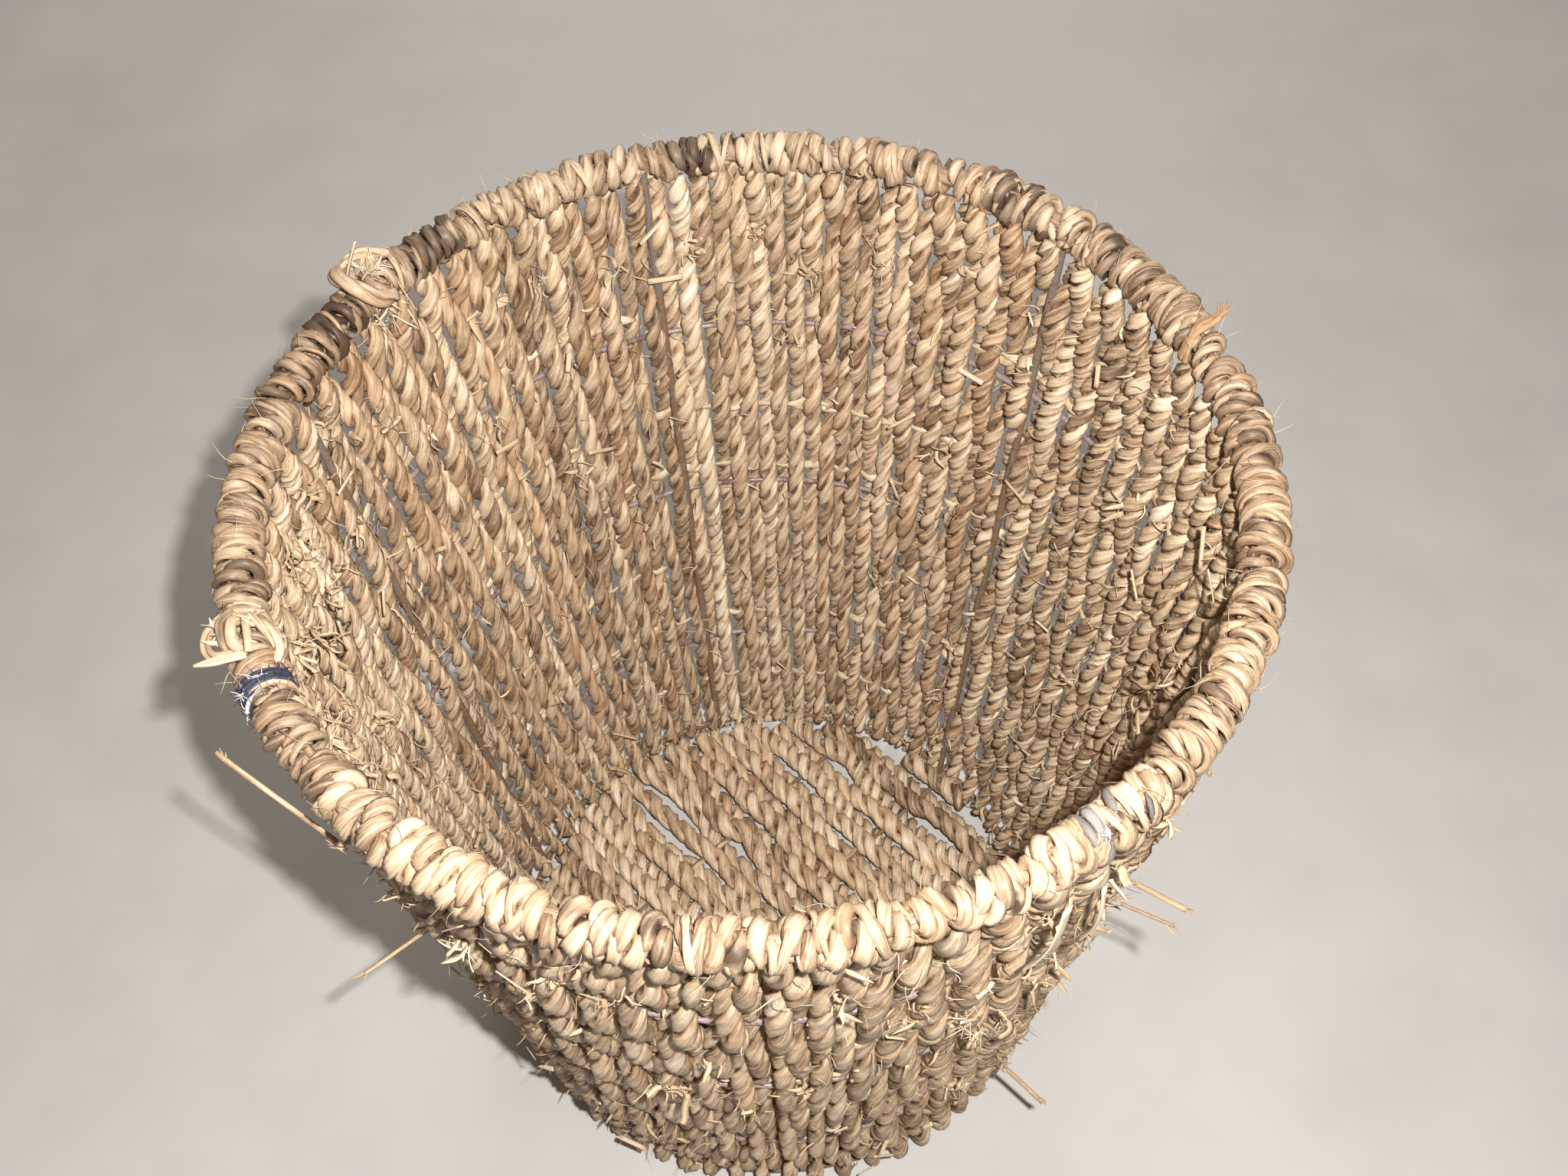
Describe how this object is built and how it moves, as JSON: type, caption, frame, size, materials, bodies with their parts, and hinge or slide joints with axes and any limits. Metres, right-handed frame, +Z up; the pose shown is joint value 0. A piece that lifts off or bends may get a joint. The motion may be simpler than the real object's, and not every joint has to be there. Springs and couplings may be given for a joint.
{
  "type": "seagrass storage basket",
  "caption": "Round open storage basket, wider at the top, of twisted seagrass cords woven on a lacquered steel wire frame, with a thick lashed rim and a woven floor.",
  "frame": {"origin": "centre of the base on the ground, at the bottom centre of the bounding box", "axes": "+Z up along the basket's axis; -Y is the front, from where the picture looks down into it; +X to the right seen from the front"},
  "size_m": [0.3144, 0.3144, 0.3128],
  "materials": {
    "frame_wire": "satin",
    "seagrass_cord": "matte",
    "rim_seagrass": "matte",
    "pale_strip": "matte",
    "brown_straw": "matte",
    "blue_thread": "matte",
    "grey_thread": "satin"
  },
  "bodies": {
    "root": {"rim_wire": "frame_wire", "base_ring_wire": "frame_wire", "base_cross_wires": "frame_wire", "hoop_wire_lower": "frame_wire", "hoop_wire_middle": "frame_wire", "hoop_wire_upper": "frame_wire", "upright_wire_1": "frame_wire", "upright_wire_2": "frame_wire", "upright_wire_3": "frame_wire", "upright_wire_4": "frame_wire", "upright_wire_5": "frame_wire", "upright_wire_6": "frame_wire", "wall_cords_1": "seagrass_cord", "wall_cords_2": "seagrass_cord", "wall_cords_3": "seagrass_cord", "wall_cords_4": "seagrass_cord", "wall_cords_5": "seagrass_cord", "wall_cords_6": "seagrass_cord", "weft_strip_1": "pale_strip", "weft_strip_2": "pale_strip", "weft_strip_3": "pale_strip", "weft_strip_4": "pale_strip", "weft_strip_5": "pale_strip", "weft_strip_6": "pale_strip", "weft_strip_7": "pale_strip", "rim_lashing_01": "rim_seagrass", "rim_lashing_02": "rim_seagrass", "rim_lashing_03": "rim_seagrass", "rim_lashing_04": "rim_seagrass", "rim_lashing_05": "rim_seagrass", "rim_lashing_06": "rim_seagrass", "rim_lashing_07": "rim_seagrass", "rim_lashing_08": "rim_seagrass", "rim_lashing_09": "rim_seagrass", "rim_lashing_10": "rim_seagrass", "rim_lashing_11": "rim_seagrass", "rim_lashing_12": "rim_seagrass", "floor_cords_lower": "seagrass_cord", "floor_cords_upper": "seagrass_cord", "rim_wrap_blue": "blue_thread", "rim_wrap_grey": "grey_thread", "rim_knot_back_left": "rim_seagrass", "rim_knot_left": "rim_seagrass", "rim_frayed_end": "brown_straw", "loose_strands": "brown_straw"}
  },
  "joints": []
}
